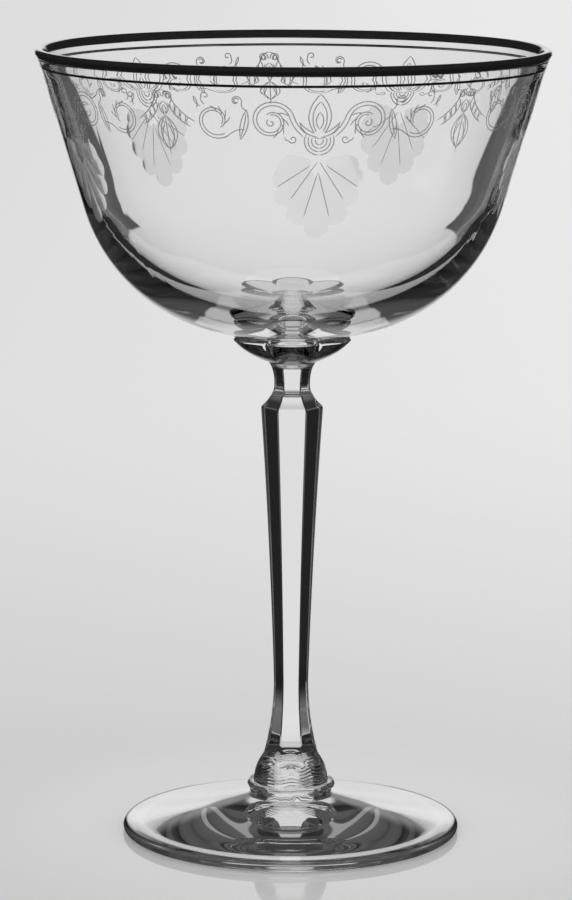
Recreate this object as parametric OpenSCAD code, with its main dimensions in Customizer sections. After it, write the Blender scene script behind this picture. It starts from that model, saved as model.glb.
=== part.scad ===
/* [Bowl] */
// Diameter of the glass over its lip
rim_d = 97.6; // [90:0.2:106]
// Height of the bowl, from its underside on the axis to the top of its lip
bowl_h = 55.6; // [52:0.2:62]
// Lean of the outer wall from upright, in degrees
wall_lean = 16.6; // [12:0.2:20]
// Extra lean of the inner wall, which thickens the wall on the way down
wall_taper = 2; // [0:0.1:3]
// Radius of the curve that joins the wall to the underside
corner_r = 33.5; // [28:0.5:38]
// Radius of the same curve on the inside of the bowl
heel_r = 31; // [27:0.5:35]
// Radius of the rounded underside
base_r = 59; // [52:1:80]
// Thickness of the glass at the lip
lip_t = 1.6; // [1.2:0.1:2.2]
// Thickness of the glass on the axis
base_t = 5; // [3.8:0.1:6]
// Turn of the flared lip, in degrees
lip_turn = 8; // [4:0.5:12]
// Radius of the flare
lip_r = 34; // [24:1:48]

/* [Shell cuts] */
// Number of cut shells around the bowl
shell_count = 5; // [3:1:6]
// Turn of the first shell from the front, in degrees
shell_turn = 6; // [0:1:72]
// Distance from the lip down the wall to the top of a shell
shell_drop = 17; // [16:0.2:20]
// Lengths of a shell's petals, from the middle one outwards
petal_len = [15.4, 13.4, 11.2, 9.2]; // [8:0.2:17]
// Turns of the petals from straight down, from the middle one outwards, in degrees
petal_turn = [0, 17, 37, 57]; // [0:1:70]
// Width of a petal across its round tip
petal_w = 4.8; // [3.6:0.1:5.4]
// Depth of a petal at its tip
petal_depth = 0.2; // [0.15:0.05:0.5]
// Height of the petals' cut above the glass at the top of the shell, so that they fade out there
petal_fade = 0.05; // [0.02:0.01:0.1]

/* [Bands] */
// Length of the wide band down the outside, below the round of the lip
band_out = 0.55; // [0.3:0.05:1.5]
// Length of the wide band down the inside, below the round of the lip
band_in = 1.2; // [0.4:0.1:2]
// Clear glass between the wide band and the thin line
band_gap = 1.75; // [1:0.05:3]
// Width of the thin line
line_w = 0.5; // [0.3:0.1:1]
// Thickness of the metal
band_t = 0.12; // [0.1:0.01:0.2]

/* [Stem] */
// Diameter of the cup under the bowl, over its corners
cup_d = 22.4; // [20:0.2:26]
// Diameter of the cup where its round side begins
cup_foot_d = 12; // [10:0.2:13]
// Height of the cup's round side
cup_h = 4.4; // [3.4:0.1:6]
// Swell of the cup's round side
cup_swell = 0.47; // [0.2:0.01:0.8]
// Depth of the bowl's underside below the cup's edge
cup_seat = 0.4; // [0:0.1:0.6]
// Width of the bevel on the cup's edge
cup_bevel = 0.5; // [0.2:0.1:0.8]
// Height of the curve from the neck to the cup
throat_h = 1.2; // [0.8:0.1:2]
// Hollow of that curve
throat_hollow = 0.3; // [0.1:0.05:0.4]
// Diameter of the top of the neck, over its corners
neck_top_d = 8.2; // [7.4:0.1:9]
// Diameter of the bottom of the neck, over its corners
neck_low_d = 7.2; // [6.6:0.1:8]
// Length of the neck
neck_h = 4.5; // [3:0.1:8]
// Hollow of the neck
neck_hollow = 0.3; // [0.1:0.05:0.5]
// Diameter of the shoulder, over its corners
shoulder_d = 12.1; // [10:0.1:14]
// Height of the slope from the shoulder to the neck
shoulder_h = 3.3; // [2.4:0.1:5]
// Hollow of that slope
shoulder_hollow = 0.3; // [0.1:0.05:0.5]
// Diameter of the waist, over its corners
waist_d = 6.8; // [6:0.1:8.4]
// Length of the taper from the waist to the shoulder
taper_h = 53.8; // [40:0.2:66]
// Hollow of the taper
taper_hollow = 0.25; // [0:0.05:0.5]
// Diameter where the flare meets the swell of the stem's base, over its corners
flare_d = 10.6; // [9:0.1:12]
// Length of the flare below the waist
flare_h = 14.3; // [11:0.1:18]
// Hollow of the flare
flare_hollow = 0.47; // [0.2:0.01:0.8]
// Diameter of the stem's base, over its corners
stem_base_d = 14.7; // [13:0.1:15.4]
// Height of the swell at the stem's base
swell_h = 5.5; // [4:0.1:7]
// Swell of the stem's base
base_swell = 0.45; // [0.1:0.01:0.6]

/* [Foot] */
// Diameter of the foot
foot_d = 65.2; // [56:0.2:76]
// Height of the foot, where the stem sits on it
foot_h = 9.7; // [8.6:0.1:12]
// Thickness of the foot at its edge
edge_t = 2; // [1.6:0.1:2.6]
// Diameter of the post in the middle of the foot
post_d = 16.4; // [15.6:0.1:18]
// Height where the domed top meets the post
post_z = 7.6; // [6.6:0.1:8]
// Hollow of the foot's top
foot_hollow = 0.9; // [0:0.1:1.6]
// Radius of the bead where the stem is stuck to the foot
bead_r = 0.75; // [0.5:0.05:0.9]
// Width of the ring that the foot rests on
rest_w = 2.4; // [1.6:0.1:4]
// Depth of the hollow underneath
under_h = 1.2; // [0.6:0.1:2]

/* [Hidden] */
$fn = 96;

// Steps in a long curve and in a short one
long_n = 12;
short_n = 6;
// Flats of the stem and the ratio of its flats to its corners
sides = 6;
flat_ratio = cos(180 / sides);
// Angle up to which the foot's edge and the bead are round
round_turn = 75;
// Least distance between two points of an outline
least_step = 0.001;

// Heights of the stem's stations, from the table up
swell_z = foot_h + swell_h;
waist_z = swell_z + flare_h;
shoulder_z = waist_z + taper_h;
neck_z = shoulder_z + shoulder_h;
throat_z = neck_z + neck_h;
cup_z = throat_z + throat_h;
cup_edge_z = cup_z + cup_h;
bowl_z = cup_edge_z - cup_seat;
rim_z = bowl_z + bowl_h;
// Overlong top of the stem, which the bowl's underside trims
stem_top_z = cup_edge_z + 2 * cup_bevel + cup_d * cup_d / (4 * base_r);

// Outward normal and upward direction of a wall that leans by a degrees
function normal(a) = [cos(a), -sin(a)];
function upward(a) = [sin(a), cos(a)];
// Points on an arc about c from angle a to angle b
function arc(c, r, a, b, n) = [for (i = [0:n]) c + r * [cos(a + (b - a) * i / n), sin(a + (b - a) * i / n)]];
// Points from p to q on an arc whose middle stands off the straight line by s, to the right if s > 0
function bow(p, q, s, n) =
    let (d = q - p, l = norm(d), side = [d.y, -d.x] / l)
    s == 0 ? [p, q]
    : let (r = (l * l / 4 + s * s) / (2 * abs(s)), c = (p + q) / 2 + side * (s - sign(s) * r))
      let (h = asin(l / 2 / r), m = atan2((side * sign(s)).y, (side * sign(s)).x))
      arc(c, r, m - sign(s) * h, m + sign(s) * h, n);
function reversed(list) = [for (i = [len(list) - 1:-1:0]) list[i]];

// Lip: centre of its rounded edge, its lean, and the centre that both faces of the flare turn about
lip_c = [rim_d / 2 - lip_t / 2, rim_z - lip_t / 2];
lip_lean = wall_lean + lip_turn;
flare_c = lip_c + (lip_r + lip_t / 2) * normal(lip_lean);
inner_lean = wall_lean + wall_taper;
inner_lip_r = lip_r + lip_t;
// Length of the flare on the outside, and its length on the inside
flare_len = lip_r * lip_turn * PI / 180;
inner_flare_len = inner_lip_r * (lip_turn - wall_taper) * PI / 180;

// Point on a face of the flare and wall, a distance down from the lip and a height off the glass
function face_lean(down, r, lean, length) = down < length ? lip_lean - down / r * 180 / PI : lean;
function face_pt(down, off, r, lean, length) =
    let (a = face_lean(down, r, lean, length))
    flare_c - (r - off) * normal(a) - max(0, down - length) * upward(lean);
function outer_pt(down, off = 0) = face_pt(down, off, lip_r, wall_lean, flare_len);
function inner_pt(down, off = 0) = face_pt(down, -off, inner_lip_r, inner_lean, inner_flare_len);

// Centre of the corner curve: it touches the wall below t and the round base about s
function corner_c(t, lean, cr, br, s) =
    let (w = t - cr * normal(lean) - s, k = w * upward(lean))
    t - cr * normal(lean) - (k + sqrt(k * k - w * w + (br - cr) * (br - cr))) * upward(lean);
// One face of the bowl, from the axis up to the lip
function face(r, lean, cr, br, low_z) =
    let (t = flare_c - r * normal(lean), s = [0, low_z + br])
    let (c = corner_c(t, lean, cr, br, s), join = atan2(c.y - s.y, c.x - s.x))
    concat(
        arc(s, br, -90, join, short_n),
        arc(c, cr, join, -lean, long_n),
        arc(flare_c, r, 180 - lean, 180 - lip_lean, short_n));
outer_face = face(lip_r, wall_lean, corner_r, base_r, bowl_z);
inner_face = face(inner_lip_r, inner_lean, heel_r, base_r - base_t, bowl_z + base_t);
// Rounded edge of the lip, a height off the glass
function lip_edge(off) = arc(lip_c, lip_t / 2 + off, -lip_lean, 180 - lip_lean, long_n);

// Corner radius of the stem at each height, from its base up to the cup's edge
stem_side = concat(
    bow([stem_base_d / 2, foot_h], [flare_d / 2, swell_z], base_swell, short_n),
    bow([flare_d / 2, swell_z], [waist_d / 2, waist_z], -flare_hollow, short_n),
    bow([waist_d / 2, waist_z], [shoulder_d / 2, shoulder_z], -taper_hollow, short_n),
    bow([shoulder_d / 2, shoulder_z], [neck_low_d / 2, neck_z], -shoulder_hollow, short_n),
    bow([neck_low_d / 2, neck_z], [neck_top_d / 2, throat_z], -neck_hollow, short_n),
    bow([neck_top_d / 2, throat_z], [cup_foot_d / 2, cup_z], -throat_hollow, short_n),
    bow([cup_foot_d / 2, cup_z], [cup_d / 2, cup_edge_z], cup_swell, short_n),
    [[cup_d / 2 - cup_bevel, cup_edge_z + cup_bevel], [cup_d / 2 - cup_bevel, stem_top_z]]);

// Outline without the points that repeat where two curves meet
function tidy(list) =
    [for (i = [0:len(list) - 1]) if (i == 0 || norm(list[i] - list[i - 1]) > least_step) list[i]];

// Solid within the bowl's outer face, closed across the lip
module bowl_envelope() {
    rotate_extrude() polygon(tidy(concat(outer_face, [[0, outer_face[len(outer_face) - 1].y]])));
}

// Cutter for one petal, which runs down from the surface to a round tip, about the middle of its run
module petal_cutter(run) {
    cut_r = petal_w * petal_w / (8 * petal_depth) + petal_depth / 2;
    translate([cut_r + petal_fade, 0, run / 2])
        rotate([0, atan((petal_depth + petal_fade) / run), 0])
            translate([0, 0, -run]) {
                cylinder(h = run, r = cut_r);
                sphere(r = cut_r);
            }
}

// Cutters for the fan of petals of one shell, which follow the round wall on the +X side
module shell_cutters() {
    for (i = [0:len(petal_len) - 1], side = i == 0 ? [1] : [-1, 1]) {
        run = petal_len[i] - petal_w / 2;
        turn = side * petal_turn[i];
        middle = outer_pt(shell_drop + run / 2 * cos(turn));
        rotate([0, 0, run / 2 * sin(turn) / middle.x * 180 / PI])
            translate([middle.x, 0, middle.y])
                rotate([0, wall_lean, 0]) rotate([turn, 0, 0]) petal_cutter(run);
    }
}

// Blown bowl with its cut shells
module bowl() {
    color([0.85, 0.88, 0.88, 0.5])
        difference() {
            rotate_extrude() polygon(tidy(concat(outer_face, lip_edge(0), reversed(inner_face))));
            for (i = [0:shell_count - 1])
                rotate([0, 0, -90 + shell_turn + i * 360 / shell_count]) shell_cutters();
        }
}

// Slab that holds two opposite flats of the stem, wide enough to cross it from corner to corner
module stem_slab() {
    right = [for (p = tidy(stem_side)) [p.x * flat_ratio, p.y]];
    left = [for (p = reversed(right)) [-p.x, p.y]];
    rotate([90, 0, 0]) linear_extrude(height = 2 * cup_d, center = true) polygon(concat(right, left));
}

// Pressed stem with the cup that carries the bowl
module stem() {
    color([0.8, 0.83, 0.84, 0.6])
        difference() {
            intersection_for(i = [0:sides / 2 - 1]) rotate([0, 0, 90 + i * 360 / sides]) stem_slab();
            bowl_envelope();
        }
}

// Foot with its post, its bead and the hollow underneath
module foot() {
    edge_c = [(foot_d - edge_t) / 2, edge_t / 2];
    edge_top = edge_c + edge_t / 2 * [cos(round_turn), sin(round_turn)];
    bead_c = [post_d / 2, foot_h - bead_r];
    under_w = edge_c.x - rest_w;
    under_r = (under_w * under_w + under_h * under_h) / (2 * under_h);
    color([0.82, 0.85, 0.86, 0.6])
        rotate_extrude()
            polygon(tidy(concat(
                arc([0, under_h - under_r], under_r, 90, acos(under_w / under_r), short_n),
                arc(edge_c, edge_t / 2, -90, round_turn, long_n),
                bow(edge_top, [post_d / 2, post_z], -foot_hollow, long_n),
                arc(bead_c, bead_r, -round_turn, 90, short_n),
                [[0, foot_h]])));
}

// Wide metal band over the lip
module rim_band() {
    out = [for (i = [long_n:-1:0]) i * band_out / long_n];
    in = [for (i = [0:long_n]) i * band_in / long_n];
    color([0.78, 0.79, 0.8])
        rotate_extrude()
            polygon(tidy(concat(
                [for (d = out) outer_pt(d, band_t)],
                lip_edge(band_t),
                [for (d = in) inner_pt(d, band_t)],
                reversed([for (d = in) inner_pt(d)]),
                reversed(lip_edge(0)),
                reversed([for (d = out) outer_pt(d)]))));
}

// Thin metal line below the wide band
module hairline_band() {
    rows = [for (i = [0:short_n]) band_out + band_gap + i * line_w / short_n];
    color([0.78, 0.79, 0.8])
        rotate_extrude()
            polygon(concat([for (d = rows) outer_pt(d, band_t)], [for (d = reversed(rows)) outer_pt(d)]));
}

bowl();
stem();
foot();
rim_band();
hairline_band();
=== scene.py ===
"""Sherbet glass: a clear bowl, a six-sided stem, a round foot and two platinum bands, in a pale studio."""
import logging
import math
from dataclasses import dataclass
from enum import IntEnum
from typing import Any, Sequence

import bpy
import numpy as np
from mathutils import Matrix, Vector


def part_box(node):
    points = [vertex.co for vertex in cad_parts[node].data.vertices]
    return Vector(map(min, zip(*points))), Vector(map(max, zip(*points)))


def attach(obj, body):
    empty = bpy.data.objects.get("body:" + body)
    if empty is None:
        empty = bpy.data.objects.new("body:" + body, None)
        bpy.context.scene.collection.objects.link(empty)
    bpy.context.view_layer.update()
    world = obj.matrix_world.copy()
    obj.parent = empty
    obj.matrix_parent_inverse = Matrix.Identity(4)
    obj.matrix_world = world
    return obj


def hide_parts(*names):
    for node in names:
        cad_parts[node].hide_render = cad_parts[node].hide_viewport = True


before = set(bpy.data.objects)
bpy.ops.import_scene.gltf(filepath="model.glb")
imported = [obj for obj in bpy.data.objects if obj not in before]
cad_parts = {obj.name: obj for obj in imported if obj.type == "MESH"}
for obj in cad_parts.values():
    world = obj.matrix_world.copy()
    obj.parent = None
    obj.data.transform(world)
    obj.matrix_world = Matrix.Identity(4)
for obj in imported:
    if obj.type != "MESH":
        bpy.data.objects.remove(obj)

LOG = logging.getLogger("sherbet_glass")
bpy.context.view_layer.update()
MM = 0.001
BODY = "root"
GLASS_INDEX = 1.52
SAME_POINT = 1e-6
Point = Sequence[float]
Pair = tuple[float, float]
Band = tuple[Pair, Pair]
Waves = tuple[tuple[int, float, float], ...]
Colour = tuple[float, float, float, float]


class Face(IntEnum):
    """Material slot of a face on a glass piece."""

    CLEAR = 0
    FUSED = 1
    GROUND = 2


class Sock:
    """A shader socket whose operators add Math nodes."""

    def __init__(self, graph: "Graph", socket: bpy.types.NodeSocket) -> None:
        """Keep the node tree and the output socket."""
        self.graph = graph
        self.socket = socket

    def maths(self, operation: str, *values: Any) -> "Sock":
        """Add a Math node.

        Args:
            operation: Name of the Math node's operation.
            values: Its inputs in order, as sockets or numbers.

        Returns:
            The node's result.
        """
        return self.graph.node("ShaderNodeMath", {"operation": operation}, dict(enumerate(values)))

    def __add__(self, other: Any) -> "Sock":
        """Sum."""
        return self.maths("ADD", self, other)

    def __radd__(self, other: Any) -> "Sock":
        """Sum with a number first."""
        return self.maths("ADD", other, self)

    def __sub__(self, other: Any) -> "Sock":
        """Difference."""
        return self.maths("SUBTRACT", self, other)

    def __rsub__(self, other: Any) -> "Sock":
        """Difference from a number."""
        return self.maths("SUBTRACT", other, self)

    def __mul__(self, other: Any) -> "Sock":
        """Product."""
        return self.maths("MULTIPLY", self, other)

    def __rmul__(self, other: Any) -> "Sock":
        """Product with a number first."""
        return self.maths("MULTIPLY", other, self)

    def __truediv__(self, other: Any) -> "Sock":
        """Quotient."""
        return self.maths("DIVIDE", self, other)

    def __rtruediv__(self, other: Any) -> "Sock":
        """Quotient of a number."""
        return self.maths("DIVIDE", other, self)

    def __abs__(self) -> "Sock":
        """Size without its sign."""
        return self.maths("ABSOLUTE", self)

    def larger(self, other: Any) -> "Sock":
        """Larger of the two."""
        return self.maths("MAXIMUM", self, other)

    def towards(self, other: Any, share: Any) -> "Sock":
        """Value that goes from this one to the other by a share."""
        return self + (other - self) * share

    def step(self, low: float, high: float) -> "Sock":
        """Smooth step.

        Args:
            low: Value at which the result is 0.
            high: Value at which the result is 1, which may be the smaller of the two.

        Returns:
            The step, between 0 and 1.
        """
        settings = {"interpolation_type": "SMOOTHSTEP", "clamp": True}
        if low < high:
            return self.graph.node("ShaderNodeMapRange", settings, {0: self, 1: low, 2: high})
        return self.graph.node("ShaderNodeMapRange", settings, {0: self, 1: high, 2: low, 3: 1.0, 4: 0.0})

    def within(self, rise: Pair, fall: Pair) -> "Sock":
        """Band that fades in over one pair of values and out over the other."""
        return self.step(*rise) * self.step(*fall)


class Graph:
    """Node tree of a material or a world."""

    def __init__(self, tree: bpy.types.NodeTree) -> None:
        """Start from an empty tree."""
        self.tree = tree
        tree.nodes.clear()

    def node(
        self, kind: str, settings: dict[str, Any], inputs: dict[Any, Any], out: Any = 0
    ) -> Sock | None:
        """Add any node.

        Args:
            kind: Blender's type name of the node.
            settings: Attributes that are set first.
            inputs: Socket names or numbers, with a value or a Sock for each.
            out: Name or number of the output that is wanted.

        Returns:
            That output, or None where the node has no outputs.
        """
        made = self.tree.nodes.new(kind)
        for key, value in settings.items():
            setattr(made, key, value)
        for key, value in inputs.items():
            if isinstance(value, Sock):
                self.tree.links.new(value.socket, made.inputs[key])
            else:
                made.inputs[key].default_value = value
        return Sock(self, made.outputs[out]) if made.outputs else None

    def mixed(self, factor: Any, first: Any, second: Any) -> Sock:
        """Mix two colours.

        Args:
            factor: Share of the second colour.
            first: Colour at 0.
            second: Colour at 1.

        Returns:
            The mixed colour.
        """
        return self.node("ShaderNodeMix", {"data_type": "RGBA"}, {0: factor, 6: first, 7: second}, 2)


def grey(level: float) -> Colour:
    """Opaque grey of a linear level."""
    return (level, level, level, 1.0)



class Finish:
    """Material that is being made, with the nodes that the finishes share."""

    def __init__(self, name: str) -> None:
        """Start an empty material.

        Args:
            name: Name of the material.
        """
        self.made = bpy.data.materials.new(name)
        self.made.use_nodes = True
        self.graph = Graph(self.made.node_tree)

    def place(self) -> Sock:
        """Place on the piece, in metres."""
        return self.graph.node("ShaderNodeTexCoord", {}, {}, "Object")

    def noise(self, scale: float, detail: float) -> Sock:
        """Cloudy noise of so many clouds to the metre."""
        return self.graph.node(
            "ShaderNodeTexNoise", {}, {"Vector": self.place(), "Scale": scale, "Detail": detail})

    def bump(self, height: Sock, strength: float, depth: float) -> Sock:
        """Normal of a surface that follows a height, up to a depth in metres."""
        return self.graph.node(
            "ShaderNodeBump", {}, {"Strength": strength, "Distance": depth, "Height": height})

    def principled(self, inputs: dict[str, Any]) -> Sock:
        """Principled shader with some of its sockets set."""
        return self.graph.node("ShaderNodeBsdfPrincipled", {}, inputs)

    def surfaced(self, shader: Sock) -> bpy.types.Material:
        """Put a shader on the surface and hand over the material."""
        self.graph.node("ShaderNodeOutputMaterial", {}, {"Surface": shader})
        return self.made


@dataclass(frozen=True)
class ClearGlass:
    """Clear crystal with the faint ripple that hot work leaves on it."""

    name: str = "clear_glass"
    tone: float = 0.99
    paler: float = 0.985
    index: float = GLASS_INDEX
    ripple_scale: float = 50.0
    ripple_detail: float = 1.0
    ripple_depth: float = 0.00001

    def material(self) -> bpy.types.Material:
        """Make the material.

        Returns:
            The material.
        """
        finish = Finish(self.name)
        swirl = finish.noise(self.ripple_scale, self.ripple_detail)
        colour = finish.graph.mixed(swirl, grey(self.tone), grey(self.tone * self.paler))
        return finish.surfaced(finish.principled({
            "Base Color": colour, "Roughness": 0.0, "IOR": self.index, "Transmission Weight": 1.0,
            "Normal": finish.bump(swirl, 1.0, self.ripple_depth)}))


@dataclass(frozen=True)
class FusedGlass:
    """Place where two pieces of hot glass have run together, which light goes straight through."""

    name: str = "fused_glass"

    def material(self) -> bpy.types.Material:
        """Make the material."""
        finish = Finish(self.name)
        return finish.surfaced(finish.principled({"Base Color": grey(1.0), "Alpha": 0.0}))


@dataclass(frozen=True)
class GroundGlass:
    """Ground face of a cut petal, which scatters the light that goes through it."""

    name: str = "ground_glass"
    tone: float = 0.9
    mottle: float = 0.12
    clear: float = 0.82
    index: float = GLASS_INDEX
    rough: float = 0.08
    rough_grain: float = 0.08
    cloud_scale: float = 180.0
    cloud_share: float = 0.7
    grain_scale: float = 2400.0
    grain_share: float = 0.3
    detail: float = 2.0
    pit_strength: float = 0.3
    pit_depth: float = 0.00001

    def material(self) -> bpy.types.Material:
        """Make the material.

        Returns:
            The material.
        """
        finish = Finish(self.name)
        cloud = finish.noise(self.cloud_scale, self.detail)
        grain = finish.noise(self.grain_scale, self.detail)
        colour = finish.graph.mixed(
            cloud * self.cloud_share + grain * self.grain_share,
            grey(self.tone * (1 - self.mottle)), grey(self.tone * (1 + self.mottle)))
        return finish.surfaced(finish.principled({
            "Base Color": colour, "Roughness": self.rough + grain * self.rough_grain, "IOR": self.index,
            "Transmission Weight": self.clear,
            "Normal": finish.bump(grain, self.pit_strength, self.pit_depth)}))


@dataclass(frozen=True)
class Platinum:
    """Thin fired-on metal, bright, with faint brush marks and worn specks."""

    name: str = "platinum"
    bright: Colour = (0.72, 0.71, 0.69, 1.0)
    dull: Colour = (0.5, 0.49, 0.48, 1.0)
    cloud_scale: float = 260.0
    cloud_detail: float = 3.0
    cloud_share: float = 0.5
    speck_scale: float = 2600.0
    speck_detail: float = 2.0
    worn_from: Pair = (0.62, 0.78)
    worn_share: float = 0.4
    rough: float = 0.07
    rough_cloud: float = 0.06
    rough_worn: float = 0.15
    ripple_strength: float = 0.4
    ripple_depth: float = 0.00002

    def material(self) -> bpy.types.Material:
        """Make the material.

        Returns:
            The material.
        """
        finish = Finish(self.name)
        cloud = finish.noise(self.cloud_scale, self.cloud_detail)
        worn = finish.noise(self.speck_scale, self.speck_detail).step(*self.worn_from)
        colour = finish.graph.mixed(cloud * self.cloud_share + worn * self.worn_share, self.bright, self.dull)
        return finish.surfaced(finish.principled({
            "Base Color": colour, "Metallic": 1.0,
            "Roughness": self.rough + cloud * self.rough_cloud + worn * self.rough_worn,
            "Normal": finish.bump(cloud, self.ripple_strength, self.ripple_depth)}))


@dataclass(frozen=True)
class EtchAndShadeLine:
    """Fine frosted, partly see-through line: the etched border, and in a darker tone the painted shade along
    the shell ridges.
    """

    name: str
    tone: float
    cover: float
    mottle: float = 0.4
    least_cover: float = 0.6
    grain_cover: float = 0.8
    grain_scale: float = 1500.0
    detail: float = 3.0
    rough: float = 0.8
    specular: float = 0.2

    def material(self) -> bpy.types.Material:
        """Make the material.

        Returns:
            The material.
        """
        finish = Finish(self.name)
        grain = finish.noise(self.grain_scale, self.detail)
        colour = finish.graph.mixed(
            grain, grey(self.tone * (1 - self.mottle)), grey(self.tone * (1 + self.mottle)))
        return finish.surfaced(finish.principled({
            "Base Color": colour, "Roughness": self.rough, "Specular IOR Level": self.specular,
            "Alpha": self.cover * self.least_cover + grain * (self.cover * self.grain_cover)}))


def turned(angle: float) -> np.ndarray:
    """Unit vector at an angle from the first axis, in degrees."""
    return np.array([math.cos(math.radians(angle)), math.sin(math.radians(angle))])


def arc(centre: Point, radius: float, start: float, end: float, count: int) -> np.ndarray:
    """Points on an arc.

    Args:
        centre: Centre of the arc.
        radius: Its radius.
        start: Angle of the first point, in degrees.
        end: Angle of the last point, in degrees.
        count: Number of steps.

    Returns:
        One row for each point.
    """
    angles = np.radians(np.linspace(start, end, count + 1))
    return np.asarray(centre) + radius * np.stack([np.cos(angles), np.sin(angles)], 1)


def bow(first: Point, last: Point, rise: float, count: int) -> np.ndarray:
    """Points on the arc between two points.

    Args:
        first: First point.
        last: Last point.
        rise: How far the middle stands off the straight line, to the right if it is above 0.
        count: Number of steps.

    Returns:
        One row for each point.
    """
    first, last = np.asarray(first, float), np.asarray(last, float)
    along = last - first
    side = np.array([along[1], -along[0]])
    share = np.linspace(0, 1, count + 1)[:, None]
    length = np.linalg.norm(along)
    return first + along * share + side / length * rise * 4 * share * (1 - share)


def joined(first: np.ndarray, second: np.ndarray) -> np.ndarray:
    """One line from two, without the second one's first point."""
    return np.concatenate([first, second[1:]])


def round_angles(count: int) -> np.ndarray:
    """Angles of so many columns all round, in radians."""
    return np.linspace(0, 2 * math.pi, count, endpoint=False)


def uneven(angles: np.ndarray, waves: Waves) -> np.ndarray:
    """Sum of waves round the axis.

    Args:
        angles: Angles about the axis, in radians.
        waves: Count, shift and size of each wave.

    Returns:
        One value for each angle.
    """
    return sum(size * np.sin(count * angles + shift) for count, shift, size in waves)


def spiral(
    centre: Point, first_r: float, last_r: float, start: float, end: float, turn: float = 14, least: int = 8
) -> np.ndarray:
    """Points on a curve that winds in.

    Args:
        centre: Centre of the curve.
        first_r: Radius at its start.
        last_r: Radius at its end.
        start: Angle of the first point, in degrees.
        end: Angle of the last point, in degrees.
        turn: Turn from one point to the next, in degrees.
        least: Least number of steps.

    Returns:
        One row for each point.
    """
    share = np.linspace(0, 1, max(least, int(abs(end - start) / turn)) + 1)
    angles = np.radians(start + (end - start) * share)
    radius = first_r + (last_r - first_r) * share
    return np.asarray(centre) + radius[:, None] * np.stack([np.cos(angles), np.sin(angles)], 1)


def softened(
    points: np.ndarray, soft: float, turn: float, step: float, pitch: float = 0.04, spread: float = 2.5
) -> np.ndarray:
    """Round the corners of an outline and keep the rows that its shape needs.

    Args:
        points: Outline, one row for each point.
        soft: Length over which a corner is rounded.
        turn: Largest turn between two rows, in degrees.
        step: Largest distance between two rows.
        pitch: Distance between the points that are smoothed.
        spread: Reach of the smoothing, as a multiple of soft.

    Returns:
        The rows that are kept.
    """
    keep = np.r_[True, np.linalg.norm(np.diff(points, axis=0), axis=1) > SAME_POINT]
    points = points[keep]
    along = np.r_[0, np.cumsum(np.linalg.norm(np.diff(points, axis=0), axis=1))]
    fine = np.linspace(0, along[-1], int(along[-1] / pitch) + 2)
    dense = np.stack([np.interp(fine, along, points[:, k]) for k in (0, 1)], 1)
    reach = max(1, int(spread * soft / pitch))
    weight = np.exp(-0.5 * (np.arange(-reach, reach + 1) * pitch / soft) ** 2)
    weight /= weight.sum()
    ends = np.concatenate([2 * dense[0] - dense[reach:0:-1], dense, 2 * dense[-1] - dense[-2:-reach - 2:-1]])
    smooth = np.stack([np.convolve(ends[:, k], weight, "valid") for k in (0, 1)], 1)
    heading = np.degrees(np.unwrap(np.arctan2(*np.diff(smooth, axis=0).T[::-1])))
    rows, last, turned_by = [0], 0, 0.0
    for i in range(1, len(heading)):
        turned_by += abs(heading[i] - heading[i - 1])
        if turned_by > turn or (i - last) * pitch > step:
            rows.append(i)
            last, turned_by = i, 0.0
    rows.append(len(smooth) - 1)
    return smooth[rows]


class RingMesh:
    """Mesh made of a stack of rings that all have the same number of points."""

    def __init__(self, columns: int) -> None:
        """Start with no ring.

        Args:
            columns: Number of points in a ring.
        """
        self.columns = columns
        self.rings: list[np.ndarray] = []
        self.slots: list[np.ndarray] = []

    def add(self, x: np.ndarray, y: np.ndarray, z: Any, slot: Any = Face.CLEAR) -> None:
        """Add a ring.

        Args:
            x: First coordinates, one for each column.
            y: Second coordinates.
            z: Heights, or one height for the whole ring.
            slot: Material slot of the faces between the ring before and this one, or one for each column.
        """
        self.rings.append(np.stack(np.broadcast_arrays(x, y, z), 1).astype(float))
        self.slots.append(np.broadcast_to(np.asarray(slot, dtype=np.int32), self.columns))

    def polar(self, angles: np.ndarray, radius: Any, z: Any, slot: Any = Face.CLEAR) -> None:
        """Add a ring by its angles and radii."""
        self.add(radius * np.cos(angles), radius * np.sin(angles), z, slot)

    def build(
        self, name: str, materials: Sequence[bpy.types.Material], loop: bool = False
    ) -> bpy.types.Object:
        """Make the object.

        Args:
            name: Name of the piece.
            materials: Its material slots.
            loop: Whether the last ring joins the first; otherwise both end rings close to a point.

        Returns:
            The object, in the scene and in metres.
        """
        count, columns = len(self.rings), self.columns
        points = np.concatenate(self.rings)
        j = np.arange(columns)
        k = (j + 1) % columns
        faces: list[tuple[int, ...]] = []
        slots: list[int] = []
        if loop:
            pairs = [(i, (i + 1) % count) for i in range(count)]
        else:
            pairs = [(i, i + 1) for i in range(1, count - 2)]
            points = np.concatenate([points[columns:-columns], self.rings[0][:1], self.rings[-1][:1]])
        for low, high in pairs:
            shift = 0 if loop else columns
            a, b = low * columns - shift, high * columns - shift
            faces += np.stack([a + j, a + k, b + k, b + j], 1).tolist()
            slots += self.slots[high].tolist()
        if not loop:
            start, end = len(points) - 2, len(points) - 1
            top = (count - 3) * columns
            faces += np.stack([np.full(columns, start), k, j], 1).tolist()
            faces += np.stack([top + j, top + k, np.full(columns, end)], 1).tolist()
            slots += self.slots[1].tolist() + self.slots[-1].tolist()
        return finished(name, points, faces, slots, materials)


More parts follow.
